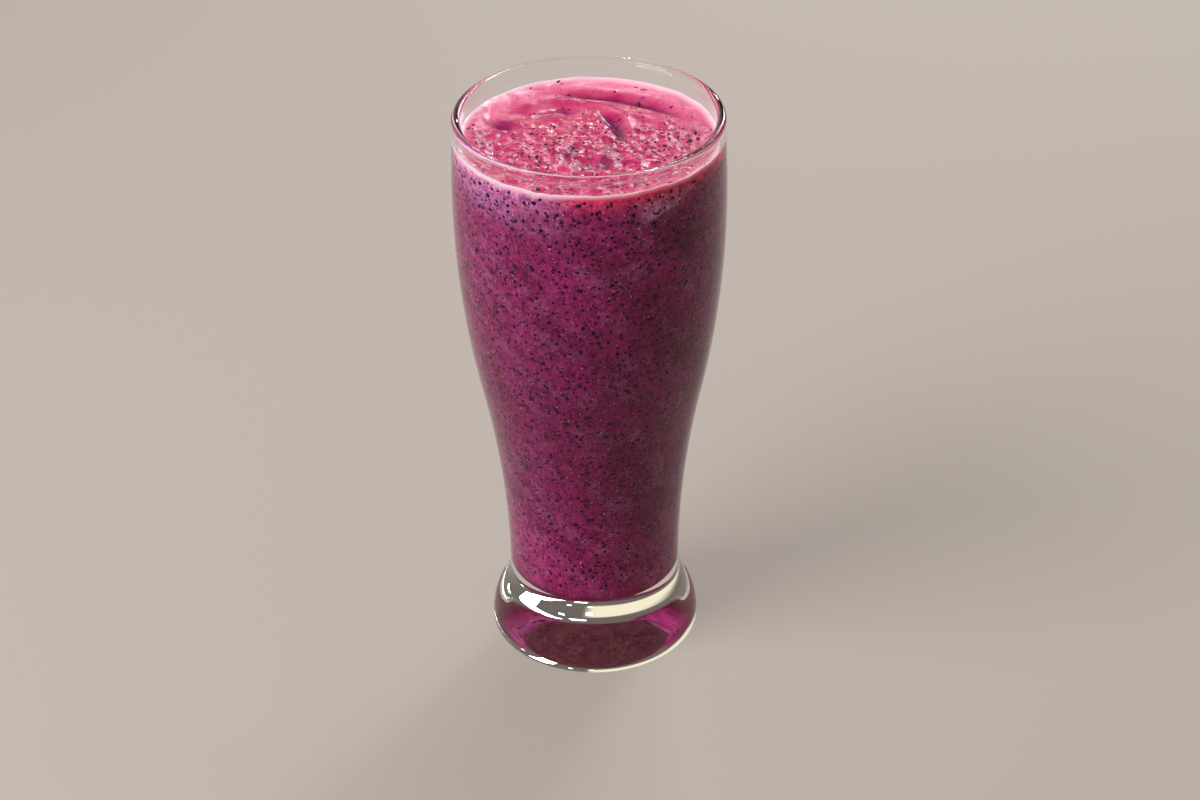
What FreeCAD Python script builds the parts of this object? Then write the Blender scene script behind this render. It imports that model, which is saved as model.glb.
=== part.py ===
import FreeCAD, Part
import math
import os

import Sketcher

# A footed tumbler filled with blueberry lassi, in millimetres.
# +Z is up, the axis of the glass is Z, and the origin is the middle of the ring it stands on.
# The glass is one turned wall: a heavy foot, a waist and a long belly that closes in a little
# towards a rounded bead at the lip. The lassi is one solid that fills the cavity up to its
# level. Its top climbs the wall and keeps the folds that the pour left in it.

V = FreeCAD.Vector

# Driving dimensions. Each becomes a cell of the sheet with this alias.
DIMENSIONS = [
    ("glass_height", 158.0, "rim above the table"),
    ("foot_r", 28.75, "largest radius of the foot"),
    ("foot_edge_r", 2.4, "rounding where the foot meets the table"),
    ("punt_r", 20.0, "radius of the hollow under the foot"),
    ("punt_rise", 1.4, "depth of that hollow at the axis"),
    ("waist_r", 23.4, "outer radius of the waist"),
    ("waist_z", 19.7, "height of the waist"),
    ("waist_cove_r", 10.3, "cove between the waist and the foot"),
    ("sweep_r", 277.0, "hollow sweep of the lower belly"),
    ("belly_r", 35.65, "largest outer radius of the belly"),
    ("belly_z", 134.9, "height of the largest radius"),
    ("belly_wall", 2.05, "wall at the largest radius"),
    ("waist_wall", 2.8, "wall at the waist"),
    ("inner_sweep_r", 262.0, "hollow sweep of the lower belly, inside"),
    ("floor_z", 19.0, "top of the heavy base"),
    ("floor_corner_r", 4.0, "rounding between the cavity's floor and its wall"),
    ("lip_r", 1.25, "radius of the bead at the lip"),
    ("neck_r", 1.5, "hollow where the bead meets the wall outside"),
    ("lassi_z", 151.2, "level of the lassi away from the wall and the folds"),
    ("meniscus_rise", 1.05, "climb of the lassi at the wall"),
    ("meniscus_reach", 0.8, "distance over which that climb fades"),
    ("relief_step", 1.2, "spacing of the grid behind the lassi's top"),
]

# Folds of the pour, each an arc of a circle in plan. Its middle is dug by depth, or raised where
# depth is negative, with a bell-shaped section as wide as width, and it fades at both ends.
# name: (centre x, centre y, radius, first angle, last angle in degrees, depth, width)
FOLDS = {
    "long_fold": (-9.7, -26.0, 50.7, 38.0, 97.0, 1.1, 1.3),
    "back_bank": (-9.7, -26.0, 54.6, 36.0, 99.0, -0.7, 2.6),
    "right_bank": (-9.7, -26.0, 44.0, 40.0, 68.0, -0.6, 1.9),
    "notch": (-14.9, -1.2, 23.3, -8.0, 46.0, 1.7, 1.5),
    "notch_rim": (-14.9, -1.2, 26.9, 2.0, 46.0, -0.7, 1.7),
    "knob": (-14.9, -1.2, 19.8, -4.0, 26.0, -0.8, 1.5),
    "left_pool": (-19.5, 12.5, 6.3, 145.0, 295.0, 1.1, 1.3),
    "left_bank": (-8.0, 2.0, 21.8, 140.0, 218.0, -0.6, 2.2),
    "middle_fold": (-6.0, 4.0, 11.0, 60.0, 150.0, 0.7, 1.3),
    "front_fold": (2.0, 2.0, 17.0, 220.0, 305.0, 0.6, 2.0),
}
FOLD_COLUMNS = ("cx", "cy", "r", "from", "to", "depth", "width")


def make_sheet(doc):
    """Puts every driving dimension and every fold into the spreadsheet as plain numbers."""
    sheet = doc.addObject("Spreadsheet::Sheet", "dims")
    rows = list(DIMENSIONS)
    for name, numbers in FOLDS.items():
        for column, value in zip(FOLD_COLUMNS, numbers):
            rows.append((f"{name}_{column}", value, f"{name}: {column}"))
    for row, (alias, value, note) in enumerate(rows, start=1):
        sheet.set(f"A{row}", alias)
        sheet.set(f"B{row}", str(value))
        sheet.set(f"C{row}", note)
        sheet.setAlias(f"B{row}", alias)
    doc.recompute()
    return sheet


class Cells:
    """Reads the sheet's aliases as plain numbers."""

    def __init__(self, sheet):
        self.sheet = sheet

    def __getattr__(self, alias):
        return float(self.sheet.get(alias))


def other_radius(rise, step, radius):
    """Second radius of an ogee whose two arcs stand upright at their far ends.

    The two radii add up to (rise^2 + step^2) / (2 * step), where rise is the height between
    those ends and step is the difference of their distances from the axis.
    """
    return (rise**2 + step**2) / (2 * step) - radius


# The same formula written out for the sheet, for the outside and the inside of the belly.
RISE = "(dims.belly_z - dims.waist_z)"
OUTER_STEP = "(dims.belly_r - dims.waist_r)"
INNER_BELLY_R = "(dims.belly_r - dims.belly_wall)"
INNER_WAIST_R = "(dims.waist_r - dims.waist_wall)"
INNER_STEP = f"({INNER_BELLY_R} - {INNER_WAIST_R})"
OUTER_BOW = f"({RISE}^2 + {OUTER_STEP}^2) / (2 * {OUTER_STEP}) - dims.sweep_r"
INNER_BOW = f"({RISE}^2 + {INNER_STEP}^2) / (2 * {INNER_STEP}) - dims.inner_sweep_r"


def solve(cells):
    """First positions of every arc of the outline, so that the solver starts at the answer."""
    g = {}
    c = cells
    rise = c.belly_z - c.waist_z
    inner_waist_r = c.waist_r - c.waist_wall
    inner_belly_r = c.belly_r - c.belly_wall
    bow = other_radius(rise, c.belly_r - c.waist_r, c.sweep_r)
    inner_bow = other_radius(rise, inner_belly_r - inner_waist_r, c.inner_sweep_r)
    foot_bow = other_radius(c.waist_z - c.foot_edge_r, c.foot_r - c.waist_r, c.waist_cove_r)
    g["punt"] = (0.0, c.punt_rise - (c.punt_r**2 + c.punt_rise**2) / (2 * c.punt_rise),
                 (c.punt_r**2 + c.punt_rise**2) / (2 * c.punt_rise))
    g["edge"] = (c.foot_r - c.foot_edge_r, c.foot_edge_r, c.foot_edge_r)
    g["foot"] = (c.foot_r - foot_bow, c.foot_edge_r, foot_bow)
    g["cove"] = (c.waist_r + c.waist_cove_r, c.waist_z, c.waist_cove_r)
    g["sweep"] = (c.waist_r + c.sweep_r, c.waist_z, c.sweep_r)
    g["bow"] = (c.belly_r - bow, c.belly_z, bow)
    g["inner_bow"] = (inner_belly_r - inner_bow, c.belly_z, inner_bow)
    g["inner_sweep"] = (inner_waist_r + c.inner_sweep_r, c.waist_z, c.inner_sweep_r)
    # The bead touches the inner bow from the glass side.
    lip_z = c.glass_height - c.lip_r
    lip_x = g["inner_bow"][0] + math.sqrt((inner_bow + c.lip_r) ** 2 - (lip_z - c.belly_z) ** 2)
    g["bead"] = (lip_x, lip_z, c.lip_r)
    # The neck touches the bow and the bead from outside: two circles meet at its centre.
    g["neck"] = (*meet(g["bow"], bow + c.neck_r, g["bead"], c.lip_r + c.neck_r, low=True),
                 c.neck_r)
    # The corner touches the floor and the inner sweep from inside the cavity.
    corner_z = c.floor_z + c.floor_corner_r
    corner_x = g["inner_sweep"][0] - math.sqrt(
        (c.inner_sweep_r + c.floor_corner_r) ** 2 - (corner_z - c.waist_z) ** 2)
    g["corner"] = (corner_x, corner_z, c.floor_corner_r)
    return g


def meet(first, r1, second, r2, low):
    """Where two circles cross outside the wall: the lower of the two points if low is set."""
    dx, dz = second[0] - first[0], second[1] - first[1]
    d = math.hypot(dx, dz)
    along = (r1**2 - r2**2 + d**2) / (2 * d)
    aside = math.sqrt(r1**2 - along**2)
    points = [
        (first[0] + (along * dx - s * aside * dz) / d, first[1] + (along * dz + s * aside * dx) / d)
        for s in (-1, 1)
    ]
    return min(points, key=lambda p: p[1]) if low else max(points, key=lambda p: p[1])


def angle(circle, point):
    return math.atan2(point[1] - circle[1], point[0] - circle[0])


def toward(a, b):
    """Point of circle a on the line to the centre of circle b."""
    d = math.hypot(b[0] - a[0], b[1] - a[1])
    return (a[0] + a[2] * (b[0] - a[0]) / d, a[1] + a[2] * (b[1] - a[1]) / d)


class Outline:
    """A half section in a sketch: radius along the sketch's x axis, height along its y axis."""

    def __init__(self, body, name):
        self.sketch = body.newObject("Sketcher::SketchObject", name)
        plane = next(f for f in body.Origin.OriginFeatures if f.Role == "XZ_Plane")
        self.sketch.AttachmentSupport = [(plane, "")]
        self.sketch.MapMode = "FlatFace"

    def line(self, a, b):
        return self.sketch.addGeometry(
            Part.LineSegment(V(a[0], a[1], 0), V(b[0], b[1], 0)), False)

    def arc(self, circle, start, end):
        """Arc of a circle, counter-clockwise from the point start to the point end."""
        a0, a1 = angle(circle, start), angle(circle, end)
        while a1 <= a0:
            a1 += 2 * math.pi
        base = Part.Circle(V(circle[0], circle[1], 0), V(0, 0, 1), circle[2])
        return self.sketch.addGeometry(Part.ArcOfCircle(base, a0, a1), False)

    def rule(self, *words, named=None, formula=None):
        index = self.sketch.addConstraint(Sketcher.Constraint(*words))
        if named:
            self.sketch.renameConstraint(index, named)
            self.sketch.setExpression(f"Constraints.{named}", formula)
        return index

    def check(self):
        self.sketch.solve()
        dof = getattr(self.sketch, "DoF", None)
        print(self.sketch.Name, "degrees of freedom", dof,
              "fully constrained", self.sketch.FullyConstrained)


START, END, CENTRE = 1, 2, 3
ROOT, X_AXIS, Y_AXIS = -1, -1, -2


def inner_wall(outline, g, c, top):
    """Inside of the cavity: an arc down to the sweep, the sweep, the corner and the floor.

    top is the point where the upper arc starts. Returns the numbers of the four pieces.
    """
    join = toward(g["inner_bow"], g["inner_sweep"])
    corner_top = toward(g["inner_sweep"], g["corner"])
    bow = outline.arc(g["inner_bow"], join, top)
    sweep = outline.arc(g["inner_sweep"], join, corner_top)
    corner = outline.arc(g["corner"], (g["corner"][0], c.floor_z), corner_top)
    floor = outline.line((g["corner"][0], c.floor_z), (0.0, c.floor_z))
    outline.rule("Tangent", bow, START, sweep, START)
    outline.rule("Tangent", sweep, END, corner, END)
    outline.rule("Tangent", corner, START, floor, START)
    outline.rule("Radius", bow, g["inner_bow"][2], named="inner_bow_r", formula=INNER_BOW)
    outline.rule("DistanceY", ROOT, 1, bow, CENTRE, c.belly_z,
                 named="inner_bow_z", formula="dims.belly_z")
    outline.rule("Radius", sweep, c.inner_sweep_r,
                 named="inner_sweep_r", formula="dims.inner_sweep_r")
    outline.rule("DistanceY", ROOT, 1, sweep, CENTRE, c.waist_z,
                 named="inner_sweep_z", formula="dims.waist_z")
    outline.rule("DistanceX", ROOT, 1, sweep, CENTRE, g["inner_sweep"][0],
                 named="inner_sweep_x", formula=f"{INNER_WAIST_R} + dims.inner_sweep_r")
    outline.rule("Radius", corner, c.floor_corner_r,
                 named="floor_corner_r", formula="dims.floor_corner_r")
    outline.rule("PointOnObject", floor, END, Y_AXIS)
    outline.rule("Horizontal", floor)
    outline.rule("DistanceY", ROOT, 1, floor, END, c.floor_z,
                 named="floor_z", formula="dims.floor_z")
    return bow, sweep, corner, floor


def make_glass(doc, c, g):
    """The tumbler: one closed half section turned once around the axis."""
    body = doc.addObject("PartDesign::Body", "glass")
    body.Label = "glass"
    o = Outline(body, "glass_section")

    ring_end = (c.foot_r - c.foot_edge_r, 0.0)
    punt = o.arc(g["punt"], (c.punt_r, 0.0), (0.0, c.punt_rise))
    ring = o.line((c.punt_r, 0.0), ring_end)
    edge = o.arc(g["edge"], ring_end, (c.foot_r, c.foot_edge_r))
    foot_top = toward(g["foot"], g["cove"])
    foot = o.arc(g["foot"], (c.foot_r, c.foot_edge_r), foot_top)
    waist = (c.waist_r, c.waist_z)
    cove = o.arc(g["cove"], waist, foot_top)
    join = toward(g["sweep"], g["bow"])
    sweep = o.arc(g["sweep"], join, waist)
    neck_low = toward(g["neck"], g["bow"])
    neck_high = toward(g["neck"], g["bead"])
    bow = o.arc(g["bow"], join, neck_low)
    neck = o.arc(g["neck"], neck_high, neck_low)
    lip_in = toward(g["bead"], g["inner_bow"])
    bead = o.arc(g["bead"], neck_high, lip_in)
    inner_bow, _, _, floor = inner_wall(o, g, c, lip_in)
    axis = o.line((0.0, c.floor_z), (0.0, c.punt_rise))

    o.rule("Coincident", floor, END, axis, START)
    o.rule("Coincident", axis, END, punt, END)
    o.rule("PointOnObject", axis, END, Y_AXIS)
    o.rule("DistanceY", ROOT, 1, axis, END, c.punt_rise,
           named="punt_rise", formula="dims.punt_rise")
    o.rule("PointOnObject", punt, CENTRE, Y_AXIS)
    o.rule("Coincident", punt, START, ring, START)
    o.rule("PointOnObject", ring, START, X_AXIS)
    o.rule("PointOnObject", ring, END, X_AXIS)
    o.rule("DistanceX", ROOT, 1, ring, START, c.punt_r, named="punt_r", formula="dims.punt_r")
    o.rule("Tangent", ring, END, edge, START)
    o.rule("Radius", edge, c.foot_edge_r, named="foot_edge_r", formula="dims.foot_edge_r")
    o.rule("Tangent", edge, END, foot, START)
    o.rule("Horizontal", edge, CENTRE, edge, END)
    o.rule("DistanceX", ROOT, 1, foot, START, c.foot_r, named="foot_r", formula="dims.foot_r")
    o.rule("Tangent", foot, END, cove, END)
    o.rule("Radius", cove, c.waist_cove_r, named="waist_cove_r", formula="dims.waist_cove_r")
    o.rule("Horizontal", cove, CENTRE, cove, START)
    o.rule("DistanceX", ROOT, 1, cove, START, c.waist_r, named="waist_r", formula="dims.waist_r")
    o.rule("DistanceY", ROOT, 1, cove, START, c.waist_z, named="waist_z", formula="dims.waist_z")
    o.rule("Tangent", cove, START, sweep, END)
    o.rule("Radius", sweep, c.sweep_r, named="sweep_r", formula="dims.sweep_r")
    o.rule("Tangent", sweep, START, bow, START)
    o.rule("Radius", bow, g["bow"][2], named="bow_r", formula=OUTER_BOW)
    o.rule("DistanceY", ROOT, 1, bow, CENTRE, c.belly_z, named="belly_z", formula="dims.belly_z")
    o.rule("Tangent", bow, END, neck, END)
    o.rule("Radius", neck, c.neck_r, named="neck_r", formula="dims.neck_r")
    o.rule("Tangent", neck, START, bead, START)
    o.rule("Radius", bead, c.lip_r, named="lip_r", formula="dims.lip_r")
    o.rule("DistanceY", ROOT, 1, bead, CENTRE, c.glass_height - c.lip_r,
           named="lip_z", formula="dims.glass_height - dims.lip_r")
    o.rule("Tangent", bead, END, inner_bow, END)
    o.check()
    turn_section(body, o.sketch)
    return body


def make_lassi(doc, c, g):
    """The drink: the cavity's own outline up to a plane above it, cut by the uneven top."""
    body = doc.addObject("PartDesign::Body", "lassi_fill")
    body.Label = "lassi_fill"
    o = Outline(body, "lassi_section")
    top_z = c.lassi_z + 4.0
    cx, cz, r = g["inner_bow"]
    top_r = cx + math.sqrt(r**2 - (top_z - cz) ** 2)
    bow, _, _, floor = inner_wall(o, g, c, (top_r, top_z))
    top = o.line((top_r, top_z), (0.0, top_z))
    axis = o.line((0.0, top_z), (0.0, c.floor_z))
    o.rule("Coincident", bow, END, top, START)
    o.rule("Horizontal", top)
    o.rule("Coincident", top, END, axis, START)
    o.rule("PointOnObject", axis, START, Y_AXIS)
    o.rule("Coincident", axis, END, floor, END)
    o.rule("DistanceY", ROOT, 1, top, END, top_z, named="fill_z", formula="dims.lassi_z + 4")
    o.check()
    turn_section(body, o.sketch)

    above = doc.addObject("Part::Feature", "above_lassi")
    above.Shape = lassi_top(c, wall_radius(c, g)).extrude(V(0, 0, 20))
    cut = doc.addObject("Part::Cut", "lassi")
    cut.Base = body
    cut.Tool = above
    cut.Label = "lassi"
    return cut


def turn_section(body, sketch):
    turn = body.newObject("PartDesign::Revolution", sketch.Name.replace("section", "turned"))
    turn.Profile = sketch
    turn.ReferenceAxis = (sketch, ["V_Axis"])
    turn.Angle = 360.0
    sketch.Visibility = False


def wall_radius(c, g):
    """Inner radius of the glass at the level of the lassi."""
    cx, cz, r = g["inner_bow"]
    return cx + math.sqrt(r**2 - (c.lassi_z + c.meniscus_rise - cz) ** 2)


def ramp(t):
    """Smooth step from 0 to 1."""
    t = min(max(t, 0.0), 1.0)
    return t * t * (3 - 2 * t)


def top_height(c, wall_r, x, y):
    """Height of the lassi's top: its level, the climb at the wall and every fold."""
    z = c.lassi_z + 2 * c.meniscus_rise / (
        1 + math.exp((wall_r - math.hypot(x, y)) / c.meniscus_reach))
    for name in FOLDS:
        cx, cy, r, first, last, depth, width = (
            getattr(c, f"{name}_{column}") for column in FOLD_COLUMNS)
        across = (math.hypot(x - cx, y - cy) - r) / width
        middle = (first + last) / 2
        turn = (math.degrees(math.atan2(y - cy, x - cx)) - middle + 180) % 360 - 180
        along = 0.5 - abs(turn) / (last - first)
        z -= depth * math.exp(-across * across) * ramp(along / 0.35)
    return z


def lassi_top(c, wall_r):
    """The uneven top as one smooth face over a square grid wider than the cavity."""
    half = math.ceil((wall_r + 1.5) / c.relief_step)
    marks = [i * c.relief_step for i in range(-half, half + 1)]
    numbers = Frozen(c)
    points = [[V(x, y, top_height(numbers, wall_r, x, y)) for y in marks] for x in marks]
    surface = Part.BSplineSurface()
    surface.interpolate(points)
    return surface.toShape()


class Frozen:
    """A copy of the cells, read once, because the grid asks for them many times."""

    def __init__(self, cells):
        for alias, _, _ in DIMENSIONS:
            setattr(self, alias, getattr(cells, alias))
        for name in FOLDS:
            for column in FOLD_COLUMNS:
                setattr(self, f"{name}_{column}", getattr(cells, f"{name}_{column}"))


def check(doc):
    """Every object must have recomputed cleanly, and every shape must be sound."""
    for thing in doc.Objects:
        if "Invalid" in thing.State or "Error" in thing.State:
            raise RuntimeError(f"{thing.Name}: {thing.State}")
        shape = getattr(thing, "Shape", None)
        if shape is not None and not thing.isDerivedFrom("Sketcher::SketchObject"):
            if shape.isNull() or not shape.isValid():
                raise RuntimeError(f"{thing.Name}: shape is not sound")


doc = FreeCAD.newDocument("blueberry_lassi")
cells = Cells(make_sheet(doc))
outline = solve(cells)
glass = make_glass(doc, cells, outline)
lassi = make_lassi(doc, cells, outline)
doc.recompute()
check(doc)

os.makedirs("parts", exist_ok=True)
for part in (glass, lassi):
    part.Placement = FreeCAD.Placement()
    shape = part.Shape
    shape.exportStep(f"parts/{part.Label}.step")
    box = shape.BoundBox
    print(part.Label, "solids", len(shape.Solids), "faces", len(shape.Faces),
          "volume cm3", round(shape.Volume / 1000, 2),
          "box", [round(v, 3) for v in (box.XMin, box.YMin, box.ZMin, box.XMax, box.YMax, box.ZMax)])
print("bow", round(outline["bow"][2], 2), "inner bow", round(outline["inner_bow"][2], 2),
      "foot bow", round(outline["foot"][2], 2), "bead", outline["bead"], "corner", outline["corner"])
print("inner radius at the level", round(wall_radius(cells, outline), 3))
print("common volume of glass and lassi", glass.Shape.common(lassi.Shape).Volume)
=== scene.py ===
# %% [markdown]
# # A blueberry lassi in its footed tumbler
# A lassi is yoghurt blended with fruit. This one is poured nearly to the rim of a clear glass with
# a heavy foot, a narrow waist and a long belly. Its looks come from four things: the clear wall,
# the purple drink pressed against it, the rough pink top that the pour left folded, and the
# thousands of dark bits of berry skin. Each gets cells of its own below.
#
# The construction model is loaded first and stays where it is. Its two solids, the glass and the
# drink, are replaced by finer surfaces of the same size, worked out with numpy.

# %% Load the frame
import math

import bmesh
import bpy
import numpy as np
from mathutils import Matrix, Vector


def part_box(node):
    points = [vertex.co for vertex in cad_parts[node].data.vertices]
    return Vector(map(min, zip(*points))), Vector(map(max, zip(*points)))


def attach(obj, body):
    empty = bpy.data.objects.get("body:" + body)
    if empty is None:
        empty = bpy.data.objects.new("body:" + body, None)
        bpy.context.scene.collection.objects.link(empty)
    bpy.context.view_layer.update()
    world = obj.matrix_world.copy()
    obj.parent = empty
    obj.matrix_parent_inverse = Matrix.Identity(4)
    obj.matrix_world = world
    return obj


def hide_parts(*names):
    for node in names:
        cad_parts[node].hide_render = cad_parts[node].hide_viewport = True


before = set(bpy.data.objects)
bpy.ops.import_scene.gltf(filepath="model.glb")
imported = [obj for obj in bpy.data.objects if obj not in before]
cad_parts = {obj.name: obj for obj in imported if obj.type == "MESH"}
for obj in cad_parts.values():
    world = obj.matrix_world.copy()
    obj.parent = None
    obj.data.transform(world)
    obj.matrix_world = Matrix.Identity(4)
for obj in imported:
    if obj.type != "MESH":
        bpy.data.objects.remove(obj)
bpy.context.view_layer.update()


def into_scene(name, data):
    """A new object that shows this camera, lamp or mesh."""
    thing = bpy.data.objects.new(name, data)
    bpy.context.scene.collection.objects.link(thing)
    return thing


# %% [markdown]
# ## Sizes
# Everything is worked out in millimetres and turned into Blender's metres when a mesh is made.
# The glass is a turned shape, so a few radii and heights fix its whole outline. The height of the
# rim comes from the frame, and the rest repeats the sizes of the construction model.

# %% Driving sizes, in millimetres
MM = 0.001
glass_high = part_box("glass")[1]
glass_height = glass_high.z / MM
foot_r, foot_edge_r = 28.75, 2.4  # the foot and the rounding of its lower edge
punt_r, punt_rise = 20.0, 1.4  # the slightly hollow middle of the underside
waist_r, waist_z, waist_cove_r = 23.4, 19.7, 10.3  # narrowest place, and the cove below it
sweep_r, belly_r, belly_z = 277.0, 35.65, 134.9  # hollow sweep of the side, widest place
waist_wall, belly_wall, inner_sweep_r = 2.8, 2.05, 262.0  # thickness of the wall, inner sweep
floor_z, floor_corner_r = 19.0, 4.0  # floor of the cavity and the rounding at its wall
lip_r, neck_r = 1.25, 1.5  # bead at the lip and the hollow under it
lassi_z, meniscus_rise, meniscus_reach = 151.2, 1.05, 0.8  # level, and its climb at the wall
print("glass height", round(glass_height, 2), "belly", round(glass_high.x / MM, 2), "of", belly_r)

# %% [markdown]
# ## Camera
# The glass is seen as by someone seated at its table, looking down at about 32 degrees through a
# portrait lens, so that the top of the drink and the whole side both show. The camera is placed by
# its distance and slope from the middle of the glass, aimed a few millimetres beside it, and
# rolled by less than a degree.

# %% Camera
camera_slope = math.radians(31.94)
camera_distance = 762.5
aim_right, aim_down = 2.03, 6.07
camera_roll = math.radians(-0.686)
middle = Vector((0, 0, glass_height / 2))

ahead = Vector((0, math.cos(camera_slope), -math.sin(camera_slope)))
right = Vector((1, 0, 0))
above = right.cross(ahead)
aim = (ahead * camera_distance + right * aim_right - above * aim_down).normalized()
level_right = aim.cross(Vector((0, 0, 1))).normalized()
level_up = level_right.cross(aim)
turned_right = math.cos(camera_roll) * level_right + math.sin(camera_roll) * level_up
turned_up = turned_right.cross(aim)

camera_data = bpy.data.cameras.new("camera")
camera_data.lens = 85
camera_data.sensor_width = 36
camera = into_scene("camera", camera_data)
axes = Matrix((turned_right, turned_up, -aim)).transposed().to_4x4()
place = (middle - ahead * camera_distance) * MM
camera.matrix_world = Matrix.Translation(place) @ axes
bpy.context.scene.camera = camera
bpy.context.scene.view_settings.view_transform = "Standard"
print("camera at", [round(v, 4) for v in place])

# %% [markdown]
# ## Light
# Soft boxes do what windows do in a room. The key stands on the left and a little in front, so the
# side of the drink goes from bright on the left to deep wine on the right. Three at the back are
# mirrored in the wet top, where it leans towards them, and in the foot. Glass is drawn by small
# bright things around it, so a few small lamps behind it put sparks on the lip and in the foot.
# They are too small to light anything.
#
# A soft box spreads its power over half a ball, so power = level * pi^2 * distance^2 makes a white
# card that faces it shine at that level.

# %% Lamps


def soft_box(name, azimuth, height, distance, size, level, tone=(1.0, 1.0, 1.0)):
    """A lamp that faces the glass: its direction in degrees, distance and size in metres.

    Azimuth 0 is the front and grows to the right, so 180 is behind the glass.
    """
    lamp_data = bpy.data.lights.new(name, "AREA")
    lamp_data.shape = "RECTANGLE"
    lamp_data.size, lamp_data.size_y = size
    lamp_data.energy = level * math.pi**2 * distance**2
    lamp_data.color = tone
    lamp = into_scene(name, lamp_data)
    a, h = math.radians(azimuth), math.radians(height)
    away = Vector((math.sin(a) * math.cos(h), -math.cos(a) * math.cos(h), math.sin(h)))
    lamp.location = middle * MM + away * distance
    lamp.rotation_euler = away.to_track_quat("Z", "Y").to_euler()


COOL, WARM = (0.92, 0.97, 1.0), (1.0, 0.93, 0.80)
behind_glass = 1.1
soft_box("key_box", -62, 43, 0.9, (0.5, 0.5), 0.95)
soft_box("side_window", 153, 30, behind_glass, (0.18, 0.56), 0.34, COOL)
soft_box("back_window", 172, 44, behind_glass, (0.10, 0.14), 0.08, COOL)
soft_box("high_pane", 152, 51, behind_glass, (0.16, 0.10), 0.12, COOL)
spark_size, spark_level = (0.035, 0.05), 0.04
SPARKS = ((134, 33, COOL), (169, 24, COOL), (178, 20, WARM), (168, 50, COOL), (157, 50, COOL))
for number, (azimuth, height, tone) in enumerate(SPARKS):
    soft_box(f"spark_{number}", azimuth, height, behind_glass, spark_size, spark_level, tone)
print("lamps", len(bpy.data.lights))

# %% [markdown]
# ## Shader helpers
# A material here is a small tree of nodes. It could be drawn by hand in the shader editor. These
# helpers add a node with its sockets filled in instead, so that each material below reads as a
# recipe.

# %% One node at a time


def put(tree, kind, inputs=None, **settings):
    """Adds a node. settings are its options; inputs maps a socket to a value or to a link."""
    node = tree.nodes.new(kind)
    for option, value in settings.items():
        setattr(node, option, value)
    for key, value in (inputs or {}).items():
        if isinstance(value, bpy.types.NodeSocket):
            tree.links.new(value, node.inputs[key])
        else:
            node.inputs[key].default_value = value
    return node


def new_material(name):
    """An empty node material with its output node."""
    material = bpy.data.materials.new(name)
    material.use_nodes = True
    tree = material.node_tree
    tree.nodes.clear()
    return material, tree, tree.nodes.new("ShaderNodeOutputMaterial")


def colour(r, g, b):
    """The four numbers that a colour socket takes."""
    return (r, g, b, 1.0)


# %% Mixing values and colours


def maths(tree, operation, a, b):
    """One Math node and its result."""
    return put(tree, "ShaderNodeMath", {0: a, 1: b}, operation=operation).outputs[0]


def times(tree, a, b):
    """The product of two values."""
    return maths(tree, "MULTIPLY", a, b)


def mix(tree, amount, a, b, kind="MIX"):
    """Colour a where amount is 0 and colour b, by the given blend kind, where it is 1."""
    return put(tree, "ShaderNodeMix", {0: amount, 6: a, 7: b}, data_type="RGBA",
               blend_type=kind).outputs[2]


def between(tree, value, low, high, start=0.0, end=1.0):
    """Turns low..high into start..end along a smooth S, and holds both ends."""
    return put(tree, "ShaderNodeMapRange", {0: value, 1: low, 2: high, 3: start, 4: end},
               interpolation_type="SMOOTHSTEP").outputs[0]


# %% Patterns, and who is looking


def on_piece(tree, shift):
    """The piece's own coordinates in metres, moved along X so that two patterns differ."""
    where = put(tree, "ShaderNodeTexCoord").outputs["Object"]
    return put(tree, "ShaderNodeMapping", {"Vector": where, "Location": (shift, 0, 0)}).outputs[0]


def grain(tree, size, detail=2.0, roughness=0.5, shift=0.0):
    """Noise whose blotches are about size millimetres wide."""
    return put(tree, "ShaderNodeTexNoise", {
        "Vector": on_piece(tree, shift), "Scale": 1 / (size * MM), "Detail": detail,
        "Roughness": roughness}).outputs[0]


def own(tree, name, output="Fac"):
    """A number or a colour that the mesh keeps for each of its points."""
    return put(tree, "ShaderNodeAttribute", attribute_name=name).outputs[output]


def dots(tree, size, edge, rare, channel=0, shift=0.0):
    """Soft round dots in some cells of a pattern whose cells are about size millimetres apart.

    A dot fades between the two distances of edge, measured in cells. Only cells whose random
    number, a channel of their colour, lies above the two numbers of rare have one.
    """
    cells = put(tree, "ShaderNodeTexVoronoi", {"Vector": on_piece(tree, shift),
                                               "Scale": 1 / (size * MM)})
    number = put(tree, "ShaderNodeSeparateColor", {0: cells.outputs["Color"]}).outputs[channel]
    return times(tree, between(tree, cells.outputs["Distance"], *edge), between(tree, number, *rare))


def rays(tree, *kinds):
    """1 for rays of these kinds, and 0 for all others."""
    path = put(tree, "ShaderNodeLightPath").outputs
    found = path[f"Is {kinds[0]} Ray"]
    for kind in kinds[1:]:
        found = maths(tree, "MAXIMUM", found, path[f"Is {kind} Ray"])
    return found


def seen_directly(tree):
    """1 for rays from the camera, a mirror or through glass, and 0 for light that only bounces."""
    return rays(tree, "Camera", "Glossy", "Transmission")


def surface(tree, out, kind, inputs):
    """Adds the last shader and connects it to the material's or the world's output."""
    tree.links.new(put(tree, kind, inputs).outputs[0], out.inputs["Surface"])


# %% [markdown]
# ## Floor and surroundings
# The floor is plain and pale. A table under a drink throws its own colour up the glass, and a
# white one would wash the deep purple out, so the floor looks pale where it is seen but bounces
# little light. Part of what is seen is an even glow, because the lamps are near and the far floor
# would fall dark. The air around is the same: plain and pale to look at, dim as a lamp.
#
# Clear glass also needs something dark to stand out against. So what the glass mirrors and bends
# from behind it, a little above the horizon, goes from cream on the left to dusk on the right, as
# in a room with one window, and overhead it is dusk too. The foot shows both sides, and the wet
# top mirrors what is overhead.

# %% Floor


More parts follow.
